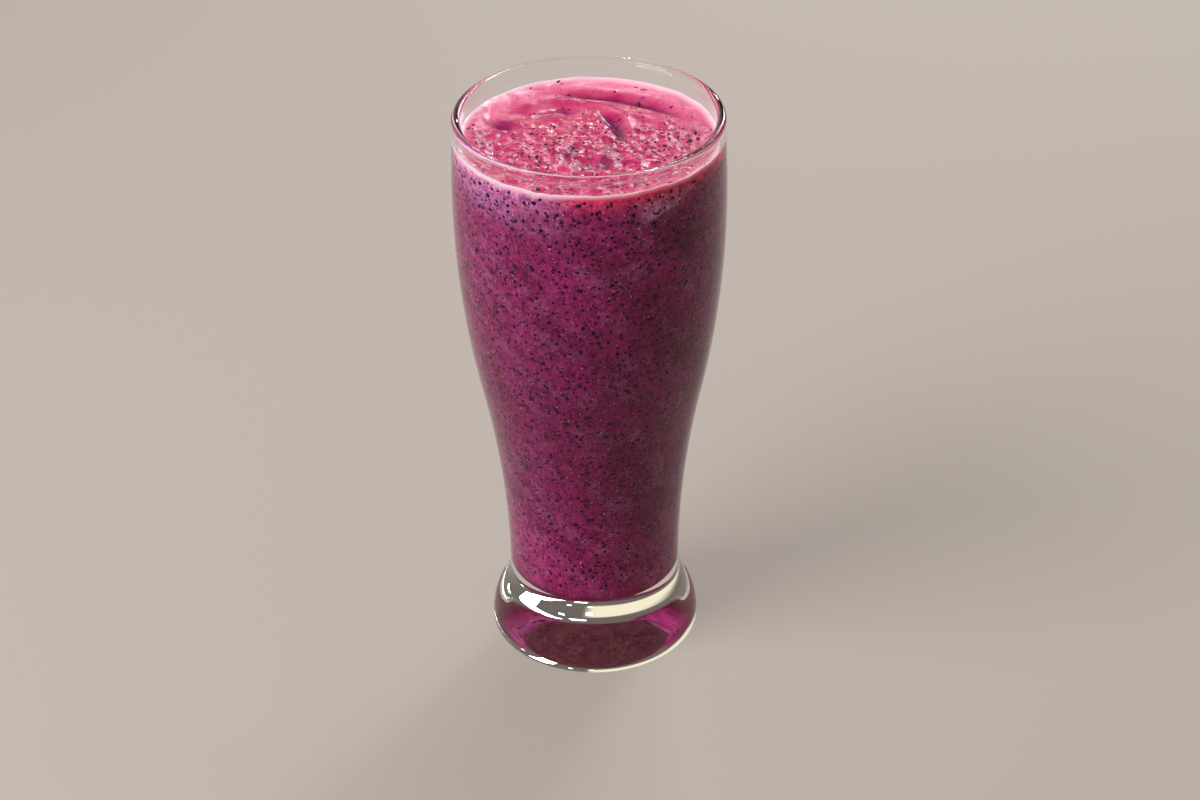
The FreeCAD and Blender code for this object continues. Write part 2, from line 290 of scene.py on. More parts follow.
def make_floor(radius=3.0, below=0.0002, corners=96):
    """A round plain floor, in metres, just under the ring that the glass stands on."""
    turns = np.linspace(0, 2 * np.pi, corners, endpoint=False)
    ring = np.stack([radius * np.cos(turns), radius * np.sin(turns), 0 * turns - below], -1)
    mesh = bpy.data.meshes.new("floor")
    mesh.from_pydata(ring.tolist(), [], [list(range(corners))])
    material, tree, out = new_material("pale_floor")
    lit = put(tree, "ShaderNodeBsdfDiffuse", {"Color": colour(0.27, 0.24, 0.215)})
    even = put(tree, "ShaderNodeEmission", {"Color": colour(0.21, 0.187, 0.168)})
    pale = put(tree, "ShaderNodeAddShader", {0: lit.outputs[0], 1: even.outputs[0]})
    dull = put(tree, "ShaderNodeBsdfDiffuse", {"Color": colour(0.24, 0.19, 0.17)})
    surface(tree, out, "ShaderNodeMixShader", {
        0: seen_directly(tree), 1: dull.outputs[0], 2: pale.outputs[0]})
    mesh.materials.append(material)
    return into_scene("floor", mesh)


make_floor()

# %% World


def make_world():
    """Air to look at, which changes with its direction, and dim even air to be lit by.

    The direction is an arrow of length 1: X above 0 is to the right, Y above 0 is behind the
    glass, and Z of 0.5 is 30 degrees above the horizon.
    """
    world = bpy.data.worlds.new("air")
    bpy.context.scene.world = world
    world.use_nodes = True
    tree = world.node_tree
    tree.nodes.clear()
    out = tree.nodes.new("ShaderNodeOutputWorld")
    way = put(tree, "ShaderNodeTexCoord").outputs["Generated"]
    parts = put(tree, "ShaderNodeSeparateXYZ", {0: way}).outputs
    plain, cream = colour(0.48, 0.425, 0.375), colour(0.95, 0.86, 0.64)
    dusk = colour(0.15, 0.125, 0.11)
    behind = mix(tree, between(tree, parts["X"], 0.0, 0.08), cream, dusk)
    around = mix(tree, between(tree, parts["Y"], -0.05, 0.25), plain, behind)
    overhead = mix(tree, between(tree, parts["Z"], 0.44, 0.54), around, dusk)
    air = mix(tree, between(tree, parts["Z"], 0.06, 0.12), plain, overhead)
    shown = mix(tree, rays(tree, "Camera"), air, plain)
    seen = put(tree, "ShaderNodeBackground", {0: shown, 1: 1.0})
    dim = put(tree, "ShaderNodeBackground", {0: colour(1.0, 0.82, 0.74), 1: 0.23})
    surface(tree, out, "ShaderNodeMixShader", {
        0: seen_directly(tree), 1: dim.outputs[0], 2: seen.outputs[0]})
    return tree


print("world of", len(make_world().nodes), "nodes")

# %% [markdown]
# ## The outline of the glass
# A tumbler like this is blown and pressed in a turned mould, so every stretch of its outline is an
# arc that runs smoothly into the next. Two arcs that run into each other touch on the line between
# their centres, which gives every joint by a little geometry instead of by a list of points.

# %% Arcs and where they touch


def second_radius(rise, step, radius):
    """The other radius of an S of two arcs: (rise^2 + step^2) / (2 step) - radius."""
    return (rise**2 + step**2) / (2 * step) - radius


def touch(a, b):
    """The point of circle a on the line from its centre to the centre of circle b."""
    away = np.array(b[:2]) - np.array(a[:2])
    return np.array(a[:2]) + a[2] * away / np.linalg.norm(away)


def crossing(a, b):
    """The lower of the two points where circles a and b cross."""
    away = np.array(b[:2]) - np.array(a[:2])
    d = np.linalg.norm(away)
    along = (a[2] ** 2 - b[2] ** 2 + d**2) / (2 * d)
    aside = math.sqrt(a[2] ** 2 - along**2)
    u = away / d
    spots = [np.array(a[:2]) + along * u + s * aside * np.array([-u[1], u[0]]) for s in (-1, 1)]
    return min(spots, key=lambda p: p[1])


def arc(circle, start, end, step=0.06, longest=2.0):
    """Points from start up to but without end, on the circle, the short way round.

    The points are at most step radians and at most longest millimetres apart.
    """
    cx, cz, r = circle
    a0 = math.atan2(start[1] - cz, start[0] - cx)
    a1 = math.atan2(end[1] - cz, end[0] - cx)
    swing = (a1 - a0 + math.pi) % (2 * math.pi) - math.pi
    count = max(2, math.ceil(abs(swing) / min(step, longest / r)))
    turns = a0 + swing * np.arange(count) / count
    return np.stack([cx + r * np.cos(turns), cz + r * np.sin(turns)], -1)


# %% Circles of the outline: centre from the axis, centre height, radius
rise = belly_z - waist_z
inner_belly_r, inner_waist_r = belly_r - belly_wall, waist_r - waist_wall
bow_r = second_radius(rise, belly_r - waist_r, sweep_r)
inner_bow_r = second_radius(rise, inner_belly_r - inner_waist_r, inner_sweep_r)
foot_bow_r = second_radius(waist_z - foot_edge_r, foot_r - waist_r, waist_cove_r)
punt_bow_r = (punt_r**2 + punt_rise**2) / (2 * punt_rise)

punt = (0.0, punt_rise - punt_bow_r, punt_bow_r)
edge = (foot_r - foot_edge_r, foot_edge_r, foot_edge_r)
foot = (foot_r - foot_bow_r, foot_edge_r, foot_bow_r)
cove = (waist_r + waist_cove_r, waist_z, waist_cove_r)
sweep = (waist_r + sweep_r, waist_z, sweep_r)
bow = (belly_r - bow_r, belly_z, bow_r)
inner_bow = (inner_belly_r - inner_bow_r, belly_z, inner_bow_r)
inner_sweep = (inner_waist_r + inner_sweep_r, waist_z, inner_sweep_r)
lip_z = glass_height - lip_r
lip_x = inner_bow[0] + math.sqrt((inner_bow_r + lip_r) ** 2 - (lip_z - belly_z) ** 2)
bead = (lip_x, lip_z, lip_r)
neck = (*crossing((*bow[:2], bow_r + neck_r), (*bead[:2], lip_r + neck_r)), neck_r)
corner_z = floor_z + floor_corner_r
corner_x = inner_sweep[0] - math.sqrt(
    (inner_sweep_r + floor_corner_r) ** 2 - (corner_z - waist_z) ** 2)
corner = (corner_x, corner_z, floor_corner_r)
print("bow", round(bow_r, 2), "inner bow", round(inner_bow_r, 2))

# %% [markdown]
# The outline starts in the middle of the foot, goes out over the ring that stands on the table, up
# the outside, over the bead at the lip and down the inside to the middle of the cavity's floor.
# Small arcs turn by more from point to point than large ones, so each has a step that suits it.

# %% Outline of the glass


def glass_outline(small_step=0.15):
    """Points (radius, height) of the half section. The first and the last lie on the axis."""
    over = (bead[0], glass_height)
    pieces = [
        arc(punt, (0.0, punt_rise), (punt_r, 0.0)),
        np.array([[punt_r, 0.0], [(punt_r + edge[0]) / 2, 0.0]]),
        arc(edge, (edge[0], 0.0), (foot_r, foot_edge_r), small_step),
        arc(foot, (foot_r, foot_edge_r), touch(foot, cove), 0.04),
        arc(cove, touch(foot, cove), (waist_r, waist_z), 0.05),
        arc(sweep, (waist_r, waist_z), touch(sweep, bow)),
        arc(bow, touch(sweep, bow), touch(bow, neck)),
        arc(neck, touch(neck, bow), touch(neck, bead), small_step),
        arc(bead, touch(bead, neck), over, small_step),
        arc(bead, over, touch(bead, inner_bow), small_step),
        arc(inner_bow, touch(inner_bow, bead), touch(inner_bow, inner_sweep)),
        arc(inner_sweep, touch(inner_sweep, inner_bow), touch(inner_sweep, corner)),
        arc(corner, touch(corner, inner_sweep), (corner_x, floor_z), 0.1),
        np.array([[corner_x * share, floor_z] for share in (1.0, 0.7, 0.4, 0.0)]),
    ]
    return np.concatenate(pieces)


outline = glass_outline()
print("outline points", len(outline))

# %% [markdown]
# ## Turning an outline into a skin
# Blender could spin the outline with its Screw modifier. Working the rings out with numpy does the
# same and leaves the shape free to change around the axis, which the top of the drink needs. A
# skin is a stack of rings with one point at each end, so it is closed and needs no doubles merged.

# %% Closed skins from rings


def ring_turns(count):
    """The angles of that many points, evenly spaced around a ring."""
    return np.linspace(0, 2 * np.pi, count, endpoint=False)


def ring_points(r, z, turns):
    """The points at radius r and height z, at every angle of turns."""
    return np.stack([r * np.cos(turns), r * np.sin(turns), z + 0 * turns], -1)


def add_piece(name, points, faces):
    """An object at the origin with a smooth mesh. Its points come in metres."""
    mesh = bpy.data.meshes.new(name)
    mesh.from_pydata(points.tolist(), [], faces)
    mesh.shade_smooth()
    return into_scene(name, mesh)


def skin(name, first_pole, rings, last_pole):
    """A closed mesh from rings[k, j], point j of ring k, with a pole at each end.

    Between two rings every pair of neighbours makes a four-sided face, and at a pole a
    three-sided one. Coordinates come in millimetres.
    """
    layers, count = rings.shape[:2]
    points = np.concatenate([[first_pole], rings.reshape(-1, 3), [last_pole]]) * MM
    k, j = np.meshgrid(np.arange(layers - 1), np.arange(count), indexing="ij")
    here, beside = 1 + k * count + j, 1 + k * count + (j + 1) % count
    quads = np.stack([here, beside, beside + count, here + count], -1).reshape(-1, 4)
    j = np.arange(count)
    start, end = 1, 1 + (layers - 1) * count
    first = np.stack([start + (j + 1) % count, start + j, np.zeros_like(j)], -1)
    last = np.stack([end + j, end + (j + 1) % count, np.full_like(j, len(points) - 1)], -1)
    return add_piece(name, points, quads.tolist() + first.tolist() + last.tolist())


# %% Turn the glass


def volume_of(piece):
    """Volume in cubic centimetres. It is negative where the faces look inwards."""
    work = bmesh.new()
    work.from_mesh(piece.data)
    volume = work.calc_volume(signed=True) / MM**3 / 1000
    work.free()
    return volume


def turned(name, half, count=256):
    """The skin that an outline of (radius, height) sweeps around the axis."""
    rings = ring_points(half[1:-1, 0, None], half[1:-1, 1, None], ring_turns(count))
    return skin(name, (0, 0, half[0, 1]), rings, (0, 0, half[-1, 1]))


tumbler = turned("clear_tumbler", outline)
print("tumbler", round(volume_of(tumbler), 2), "cm3 of glass")

# %% [markdown]
# ## Clear glass
# Light bends where it enters glass and bends back where it leaves, and that is what draws the lip
# and the foot: they are solid lenses. So the wall is one closed skin with a real inside and
# outside, and the shader bends rays. Cycles finds lamps badly through bending glass, so rays that
# only carry light pass straight through, and the drink behind the wall is lit without noise. A
# pale studio would veil the deep purple with its mirror image, so the flat-on reflection is
# weakened, and the one at a slant, which draws the edges, stays whole.

# %% Glass material


def glass_material():
    """Bending clear glass to look at, and plain see-through glass for light on its way."""
    material, tree, out = new_material("soda_glass")
    clear = put(tree, "ShaderNodeBsdfPrincipled", {
        "Base Color": colour(0.985, 0.99, 0.985), "Roughness": 0.0, "IOR": 1.47,
        "Specular Tint": colour(0.35, 0.35, 0.35), "Transmission Weight": 1.0})
    straight = put(tree, "ShaderNodeBsdfTransparent", {"Color": colour(0.97, 0.975, 0.97)})
    surface(tree, out, "ShaderNodeMixShader", {
        0: rays(tree, "Shadow", "Diffuse"), 1: clear.outputs[0], 2: straight.outputs[0]})
    return material


tumbler.data.materials.append(glass_material())
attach(tumbler, "root")
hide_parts("glass")
print("finish of the glass", tumbler.data.materials[0].name)

# %% [markdown]
# ## The top of the drink
# A thick drink keeps the marks of its pour. Here a long fold curls around the back with a pale
# bank behind it, a wedge-shaped notch lies in front of that, a smooth pool lies on the left, and
# at the wall the drink climbs a little. Each mark is a piece of a circle in plan, dug or raised
# with a bell-shaped section, and these are the same marks that the solid has.

# %% The folds of the pour: centre x and y, radius, first and last angle, depth, width
FOLDS = {
    "long_fold": (-9.7, -26.0, 50.7, 38.0, 97.0, 1.1, 1.3),
    "back_bank": (-9.7, -26.0, 54.6, 36.0, 99.0, -0.7, 2.6),
    "right_bank": (-9.7, -26.0, 44.0, 40.0, 68.0, -0.6, 1.9),
    "notch": (-14.9, -1.2, 23.3, -8.0, 46.0, 1.7, 1.5),
    "notch_rim": (-14.9, -1.2, 26.9, 2.0, 46.0, -0.7, 1.7),
    "knob": (-14.9, -1.2, 19.8, -4.0, 26.0, -0.8, 1.5),
    "left_pool": (-19.5, 12.5, 6.3, 145.0, 295.0, 1.1, 1.3),
    "left_bank": (-8.0, 2.0, 21.8, 140.0, 218.0, -0.6, 2.2),
    "middle_fold": (-6.0, 4.0, 11.0, 60.0, 150.0, 0.7, 1.3),
    "front_fold": (2.0, 2.0, 17.0, 220.0, 305.0, 0.6, 2.0),
}


def ease(t):
    """The smooth step 3 t^2 - 2 t^3, held at 0 and 1."""
    t = np.clip(t, 0, 1)
    return t * t * (3 - 2 * t)


def bell(t):
    """exp(-t^2): 1 in the middle, 0.37 at t = 1, nothing past t = 2.5."""
    return np.exp(-(t**2))


def turn_from(middle, angle):
    """Degrees from middle to angle, between -180 and 180."""
    return (angle - middle + 180) % 360 - 180


def on_fold(x, y, name, fade):
    """Distance from a fold's arc, and a weight that falls to 0 over a share, fade, at each end."""
    cx, cy, r, first, last = FOLDS[name][:5]
    turn = turn_from((first + last) / 2, np.degrees(np.arctan2(y - cy, x - cx)))
    return np.hypot(x - cx, y - cy) - r, ease((0.5 - np.abs(turn) / (last - first)) / fade)


def fold_relief(x, y):
    """Sum of the marks: -depth * bell(distance from the arc / width) * fade at the arc's ends."""
    z = np.zeros_like(x)
    for name, (*_, depth, width) in FOLDS.items():
        across, along = on_fold(x, y, name, 0.35)
        z -= depth * bell(across / width) * along
    return z


dug = [name for name, fold in FOLDS.items() if fold[5] > 0]
print("marks of the pour", len(FOLDS), "of which dug", dug)

# %% Where the drink meets the wall


def wall_r(z):
    """Inner radius of the glass at height z: the bow above, the sweep below where they touch."""
    high = inner_bow[0] + np.sqrt(np.maximum(inner_bow_r**2 - (z - belly_z) ** 2, 0))
    low = inner_sweep[0] - np.sqrt(np.maximum(inner_sweep_r**2 - (z - waist_z) ** 2, 0))
    return np.where(z > touch(inner_bow, inner_sweep)[1], high, low)


level_r = float(wall_r(np.array(lassi_z + meniscus_rise)))
print("radius of the drink at its level", round(level_r, 3))

# %% [markdown]
# Between the large folds the surface is lumpy with pulp, most of all in the front half, and almost
# smooth in the pool on the left and along the back. The lumps are bells too, hundreds of them, laid
# out by a seeded random generator so that every run gives the same drink. A gentle ripple of
# gradient noise lies under them.

# %% Pulp lumps and ripples


def roughness_here(x, y):
    """How broken the surface is, from smooth = 0.12 to 1 in the front half.

    It fades towards the back from y = 13 to 1, in an oval pool on the left, and near the wall.
    """
    smooth, back_y, back_fade = 0.12, 13, 12
    front = ease((back_y - y) / back_fade)
    pool = bell((x + 20) / 8) * bell((y - 12) / 9)
    near_wall = ease((np.hypot(x, y) - level_r + 5) / 4)
    return smooth + (1 - smooth) * front * (1 - pool) * (1 - 0.7 * near_wall)


def ripple(x, y, size, seed, lattice=64):
    """Gradient noise: random slopes on a square lattice, eased into each other between points."""
    slopes = np.random.default_rng(seed).uniform(0, 2 * np.pi, (lattice, lattice))
    u, v = x / size, y / size
    i, j = np.floor(u).astype(int), np.floor(v).astype(int)
    du, dv = u - i, v - j
    total = np.zeros_like(u)
    for a in (0, 1):
        for b in (0, 1):
            turn = slopes[(i + a) % lattice, (j + b) % lattice]
            slope = np.cos(turn) * (du - a) + np.sin(turn) * (dv - b)
            total += slope * (1 - ease(np.abs(du - a))) * (1 - ease(np.abs(dv - b)))
    return total


# %% Pulp, and the height of the top


def pulp(x, y, lumps=620, seed=11):
    """Raised and sunken long bells, 0.4 to 1.3 mm wide, all over the top."""
    rng = np.random.default_rng(seed)
    z = np.zeros_like(x)
    for _ in range(lumps):
        r, turn = level_r * math.sqrt(rng.uniform()), rng.uniform(0, 2 * np.pi)
        cx, cy = r * math.cos(turn), r * math.sin(turn)
        width, height = rng.uniform(0.4, 1.3), rng.normal(0.08, 0.26)
        stretch, lean = rng.uniform(1, 2.2), rng.uniform(0, np.pi)
        dx, dy = x - cx, y - cy
        near = np.hypot(dx, dy) < 4 * width * stretch
        along = (dx[near] * math.cos(lean) + dy[near] * math.sin(lean)) / (width * stretch)
        across = (dy[near] * math.cos(lean) - dx[near] * math.sin(lean)) / width
        z[near] += height * bell(along) * bell(across)
    return z


def top_relief(x, y):
    """Folds, lumps and ripples together, above or below the level."""
    broken = roughness_here(x, y)
    small = pulp(x, y) + 0.45 * ripple(x, y, 2.3, 3) + 0.22 * ripple(y, x, 1.1, 4)
    return fold_relief(x, y) + broken * small + 0.35 * ripple(x, y, 6.5, 5)


def climb(x, y):
    """The meniscus, 2 * rise / (1 + exp(distance from the wall / reach)).

    At the wall that is the rise itself. It fades more slowly at the back left, where the drink was
    swirled up the wall.
    """
    inside = level_r - np.hypot(x, y)
    turn = turn_from(155, np.degrees(np.arctan2(y, x)))
    reach = meniscus_reach * (1 + 0.65 * ease(1.6 - np.abs(turn) / 40))
    return 2 * meniscus_rise / (1 + np.exp(inside / reach))


def top_z(x, y):
    """Height of the drink's top at x and y."""
    return lassi_z + top_relief(x, y) + climb(x, y)


middle_z = float(top_z(np.zeros(1), np.zeros(1))[0])
print("height of the top in the middle", round(middle_z, 2))

# %% [markdown]
# ## The body of the drink
# The drink is one closed skin: rings that widen from the middle of the top to the wall, rows that
# go down the wall, around the corner and in to the middle of the floor. It reaches 0.08 mm into the
# glass, because the two really touch, and a film of air between them would show as silver. The
# rings crowd towards the wall, where the drink climbs and its edge has to be fine.

# %% Rings of the drink
INTO_WALL = 0.08
SEGMENTS = 512
TOP_RINGS = 84


def lassi_rings():
    """All rings from the top's middle to the floor, and each point's depth below the edge."""
    turns = ring_turns(SEGMENTS)
    share = np.arange(1, TOP_RINGS + 1) / TOP_RINGS
    crowding = 1.25
    radii = (level_r + INTO_WALL) * (1 - (1 - share) ** crowding)
    x, y = radii[:, None] * np.cos(turns), radii[:, None] * np.sin(turns)
    top = np.stack([x, y, top_z(x, y)], -1)

    # Under the edge come 36 rows 0.35 mm apart, then rows 2.6 mm apart down to the corner. The
    # edge's ups and downs die away over 4 mm.
    edge_z = top[-1, :, 2]
    mean_z = edge_z.mean()
    depth = np.cumsum(np.repeat([0.35, 2.6], [36, 45]))
    depth = depth[mean_z - depth > corner_z + 1][:, None]
    z = mean_z - depth + (edge_z - mean_z) * np.exp(-depth / 4)
    side = ring_points(wall_r(z) + INTO_WALL, z, turns)

    wide = (corner_x, corner_z, floor_corner_r + INTO_WALL)
    half = np.concatenate([
        arc(wide, touch(wide, inner_sweep), (corner_x, floor_z - INTO_WALL), 0.15),
        [[corner_x * s, floor_z - INTO_WALL] for s in (1.0, 0.66, 0.33)]])
    bottom = ring_points(half[:, 0, None], half[:, 1, None], turns)
    rings = np.concatenate([top, side, bottom])
    return rings, edge_z - rings[..., 2]


rings, below = lassi_rings()
lassi = skin("lassi_drink", (0, 0, middle_z), rings, (0, 0, floor_z - INTO_WALL))
lassi.data.flip_normals()
print("drink", round(volume_of(lassi), 2), "cm3,", len(lassi.data.polygons), "faces")
print("highest point of the top", round(float(rings[:TOP_RINGS, :, 2].max()), 2))

# %% [markdown]
# ## Colours of the pour
# The drink isn't one colour. Its side is a deep magenta with drifts of wine and lilac. Light and
# shade are painted into it as well: the side is brighter low down and near the top, one wine oval
# is a painted shadow, a crimson band under the edge, orchid on the left, is a painted glow of light
# scattered in from the top, and the edge itself is a thin pale line of painted glow and highlight.
# The top is pinker and pale on the bank along the back. Its ridges are paler and its hollows and
# creases mauve, which is painted light and shade, and clusters of pigment are mauve too. These slow
# changes are worked out for each point and kept as a colour attribute, which a shader of pure noise
# couldn't place.
# The fine mottle comes later, in the shader. In the formulas below azimuth is 0 at the front and
# grows to the right, depth is measured down from the edge, and both z and depth are millimetres.

# %% Pigments, as red, green and blue
MAGENTA = (0.350, 0.022, 0.145)
WINE = (0.215, 0.010, 0.070)
LILAC = (0.480, 0.160, 0.370)
# The next three colours paint glow and highlight: light scattered in under the edge of the drink,
# and the pale line at the edge itself.
CRIMSON_GLOW = (1.000, 0.070, 0.210)
ORCHID_GLOW = (0.780, 0.240, 0.520)
EDGE_GLOW_PINK = (1.000, 0.700, 0.800)
SMEAR = (0.820, 0.430, 0.660)
CREAM = (0.950, 0.700, 0.640)
UNDER_MAUVE = (0.500, 0.150, 0.230)
PINK = (0.560, 0.030, 0.140)
PALE = (0.860, 0.215, 0.360)
MAUVE = (0.190, 0.016, 0.098)


def tint(base, other, amount):
    """base moved towards other by amount, point by point."""
    return base + np.subtract(other, base) * np.clip(amount, 0, 1)[..., None]


# %% Drifts, patches and a painted shadow on the side
# Soft ovals on the wall: azimuth and depth of the middle, half width in degrees, half height,
# pigment, amount. The lilac ones are tints of the drink, and the wine one is a painted shadow.
PATCHES_AND_SHADOW = (
    (-52, 6, 12, 4, LILAC, 0.8), (-38, 8, 9, 3, LILAC, 0.6), (-20, 10, 12, 3, LILAC, 0.4),
    (30, 6, 14, 3.5, LILAC, 0.5), (42, 16, 14, 4, WINE, 0.8))


def side_drifts(x, y, z):
    """Slow noise that wraps around the wall, and the pigments it mixes, with painted light: brighter
    low down, where light comes up through the foot, and a little near the top.
    """
    shade = ripple(x + 0.6 * z, y + 0.5 * z, 11, 21) + 0.6 * ripple(x - z, y, 5, 22)
    drift = ripple(x + z, y - 0.7 * z, 7, 23) + 0.7 * ripple(x - 0.6 * z, y + z, 3.2, 25)
    out = tint(tint(MAGENTA, WINE, 0.30 + 0.8 * shade), LILAC, 0.55 * drift)
    # Painted light: the colour is raised low down and a little near the top.
    bright = 1 + 0.45 * ease((60 - z) / 38) + 0.14 * ease((z - 105) / 25)
    return drift, out * bright[..., None]


def side_patches(out, azimuth, depth):
    """The ovals, lilac tints and one painted shadow: amount * bell(turn / half width)
    * bell(height / half height).
    """
    for at, down, wide, tall, pigment, amount in PATCHES_AND_SHADOW:
        oval = bell(turn_from(at, azimuth) / wide) * bell((depth - down) / tall)
        out = tint(out, pigment, amount * oval)
    return out


def smear(out, azimuth, depth, drift, wobble):
    """The pale smear at the right. Its lower border slants up and ends in a thin cream line."""
    border = 9.0 - 0.22 * (azimuth - 27) + 1.2 * wobble
    across = ease((azimuth - 17 + 5 * drift) / 9) * ease((66 - azimuth) / 14)
    out = tint(out, SMEAR, (0.55 + 0.3 * drift) * across * ease((border - depth) / 2.2))
    return tint(out, CREAM, 0.30 * across * bell((depth - border + 0.9) / 0.5))


# %% Colours of the side


def painted_edge_glow(out, azimuth, depth, uneven):
    """Painted glow under the edge, light scattered in from the top: orchid at the left and crimson
    elsewhere. Then the thin pale edge itself, painted glow and highlight, wider at the left.
    """
    left = ease((-azimuth - 2) / 24) * ease((azimuth + 130) / 40)
    out = tint(out, CRIMSON_GLOW, uneven * (1 - left) * bell(depth / 4.0))
    out = tint(out, ORCHID_GLOW, uneven * left * bell(depth / 5.4))
    return tint(out, EDGE_GLOW_PINK, np.exp(-((depth / (0.85 + 0.5 * left)) ** 3)))


def side_colours(points, depth):
    """One thing painted over the other: drifts with painted light, underside, patches with a painted
    shadow, smear, and the painted glow under and at the edge.
    """
    x, y, z = points[..., 0], points[..., 1], points[..., 2]
    azimuth = np.degrees(np.arctan2(x, -y))
    drift, out = side_drifts(x, y, z)
    out = tint(out, UNDER_MAUVE, ease((floor_z + 1.2 - z) / 1.1))
    out = side_patches(out, azimuth, depth)
    out = smear(out, azimuth, depth, drift, ripple(x, y + z, 3.1, 26))
    return painted_edge_glow(out, azimuth, depth, 0.95 + 0.5 * ripple(x, y, 9, 24))


ring_colours = side_colours(rings, below)
print("mean colour of the side", ring_colours[TOP_RINGS + 8:].mean(axis=(0, 1)).round(3))

# %% Colours of the top
# Clusters of pigment on the top: x, y and half width
CLUSTERS = ((-5.3, -9.6, 2.6), (-3.6, -5.8, 1.8), (5.3, -7.1, 2.0), (4.2, -13.6, 2.2),
            (-5.0, 13.5, 1.6), (-21.5, 8.0, 2.4))


def crease_shade(x, y, name):
    """The thin line of painted shade at the bottom of a fold: a bell 0.4 mm wide beside the
    fold's arc.
    """
    across, along = on_fold(x, y, name, 0.25)
    return along * bell((across + 0.5) / 0.4)


def top_colours(points):
    """Pink, with painted light and shade: paler on ridges, mauve in hollows and creases. Also pale
    along the back wall, mauve in clusters of pigment, and painted glow at the edge.
    """
    x, y = points[..., 0], points[..., 1]
    from_axis = np.hypot(x, y)
    height = fold_relief(x, y) + 0.8 * roughness_here(x, y) * pulp(x, y)
    out = tint(PINK, PALE, 0.4 * ripple(x, y, 4.5, 31) + 0.06)
    # Painted light and shade: ridges are paler and hollows mauve.
    out = tint(out, PALE, 0.4 * ease((height - 0.1) / 0.9))
    out = tint(out, MAUVE, 0.9 * ease((-height - 0.12) / 0.95))
    out = tint(out, PALE, 0.8 * ease((from_axis - 24) / 6) * ease((y - 2) / 12))
    # Painted shade in the bottom of two folds.
    out = tint(out, MAUVE, 0.75 * crease_shade(x, y, "long_fold") + 0.6 * crease_shade(x, y, "middle_fold"))
    for cx, cy, wide in CLUSTERS:
        cluster = bell(np.hypot(x - cx, y - cy) / wide)
        out = tint(out, MAUVE, 0.7 * cluster * (1 + 1.4 * ripple(x, y, 1.0, 32)))
    # The pale ring along the wall is a painted glow and highlight.
    return tint(out, EDGE_GLOW_PINK, 0.9 * bell((level_r - from_axis) / 1.1))


ring_colours[:TOP_RINGS - 1] = top_colours(rings[:TOP_RINGS - 1])
# The ring at the wall is painted glow and highlight too.
ring_colours[TOP_RINGS - 1] = EDGE_GLOW_PINK
print("mean colour of the top", ring_colours[:TOP_RINGS].mean(axis=(0, 1)).round(3))

# %% Paint the drink


def evenness(points, depth):
    """How much mottle a point takes: none at the painted glow of the edge, less along the back, all
    below.
    """
    x, y = points[..., 0], points[..., 1]
    inside = level_r - np.hypot(x, y)
    on_side = ease((depth - 0.5) / 1.6)
    on_top = ease((inside - 0.8) / 2.0) * (0.35 + 0.65 * roughness_here(x, y))
    layer = np.arange(len(points))[:, None]
    return np.where(layer < TOP_RINGS, on_top, on_side)


def paint(piece, colours, mottle):
    """Keeps a colour and an amount of mottle for each point: the attributes pour and mottled."""
    attribute = piece.data.color_attributes.new("pour", "FLOAT_COLOR", "POINT")
    flat = np.ones((len(colours), 4), np.float32)
    flat[:, :3] = np.clip(colours, 0, 1)
    attribute.data.foreach_set("color", flat.ravel())
    amounts = piece.data.attributes.new("mottled", "FLOAT", "POINT")
    amounts.data.foreach_set("value", mottle.astype(np.float32))


paint(lassi, np.concatenate([[PINK], ring_colours.reshape(-1, 3), [UNDER_MAUVE]]),
      np.concatenate([[1.0], evenness(rings, below).ravel(), [1.0]]))
print("points painted", len(lassi.data.vertices))

# %% [markdown]
# ## Lassi materials
# One recipe makes both finishes, because it is one drink. Noise breaks the slow colours into
# magenta, wine and pink mottle one or two millimetres wide, and two sets of tiny cells add dark
# dots and pale bubbles too small to model. Pressed against the glass the drink has no shine of its
# own. In the open air its top is wet: low roughness, and fine bumps that break up the highlights.

# %% The mottle that both finishes share


def lassi_colour(tree, dark_share, light_share):
    """The attribute pour, darkened and lightened by mottle, with soft dots dark and pale."""
    base = own(tree, "pour", "Color")
    amount = own(tree, "mottled")
    dark_amount = times(tree, amount, dark_share)
    light_amount = times(tree, amount, light_share)
    dark = mix(tree, 1.0, base, colour(0.55, 0.36, 0.60), "MULTIPLY")
    light = mix(tree, 1.0, base, colour(1.45, 1.9, 1.6), "MULTIPLY")
    coarse = between(tree, grain(tree, 2.2, 3.0, 0.6), 0.42, 0.62)
    veins = between(tree, grain(tree, 1.1, 2.0, 0.6, shift=7.0), 0.50, 0.66)
    fine = between(tree, grain(tree, 0.9, 2.0, 0.6, shift=3.0), 0.50, 0.68)
    out = mix(tree, times(tree, coarse, dark_amount), base, dark)
    out = mix(tree, times(tree, fine, light_amount), out, light)
    out = mix(tree, times(tree, veins, times(tree, dark_amount, 0.5)), out, dark)
    dot = dots(tree, 1.0, (0.28, 0.16), (0.55, 0.65))
    out = mix(tree, times(tree, dot, times(tree, amount, 0.8)), out, colour(0.030, 0.002, 0.022))
    bubble = dots(tree, 0.8, (0.24, 0.14), (0.72, 0.80), channel=1, shift=5.0)
    return mix(tree, times(tree, bubble, light_amount), out, light)


# %% Lassi materials


def side_material():
    """The drink behind the glass."""
    material, tree, out = new_material("lassi_behind_glass")
    surface(tree, out, "ShaderNodeBsdfPrincipled", {
        "Base Color": lassi_colour(tree, dark_share=0.9, light_share=0.9), "Roughness": 0.9,
        "Specular IOR Level": 0.05, "Subsurface Weight": 0.55, "Subsurface Scale": 3.0 * MM,
        "Subsurface Radius": (1.0, 0.15, 0.25)})
    return material


